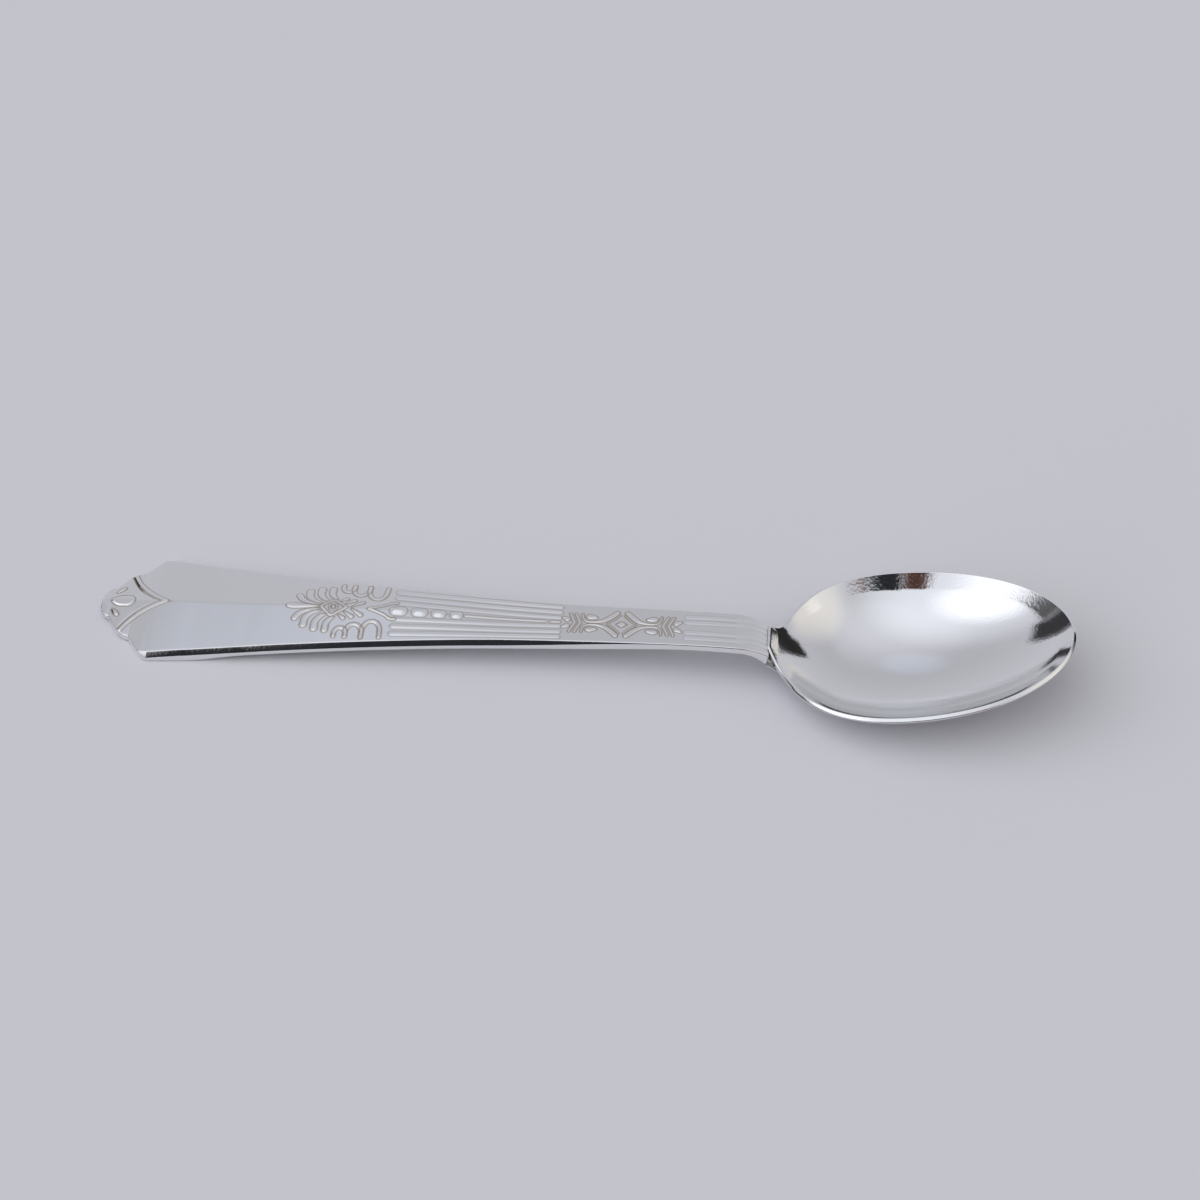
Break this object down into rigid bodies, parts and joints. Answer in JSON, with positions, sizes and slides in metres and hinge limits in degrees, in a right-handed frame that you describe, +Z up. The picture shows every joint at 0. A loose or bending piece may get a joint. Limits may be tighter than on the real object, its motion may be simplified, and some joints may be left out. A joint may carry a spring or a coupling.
{
  "type": "teaspoon",
  "caption": "Silver-plated teaspoon with a tapered, ornamented flat handle soldered under an egg-shaped bowl, for stirring and measuring small amounts.",
  "frame": {"origin": "centre of the bounding box's bottom, on the surface the spoon lies on", "axes": "+X along the spoon towards the bowl's tip, +Y across it, +Z up out of the bowl"},
  "size_m": [0.14, 0.03, 0.0134],
  "materials": {
    "silver_plate": "polished",
    "solder": "satin"
  },
  "bodies": {
    "root": {"handle": "silver_plate", "bowl": "silver_plate", "solder_seam": "solder"}
  },
  "joints": []
}
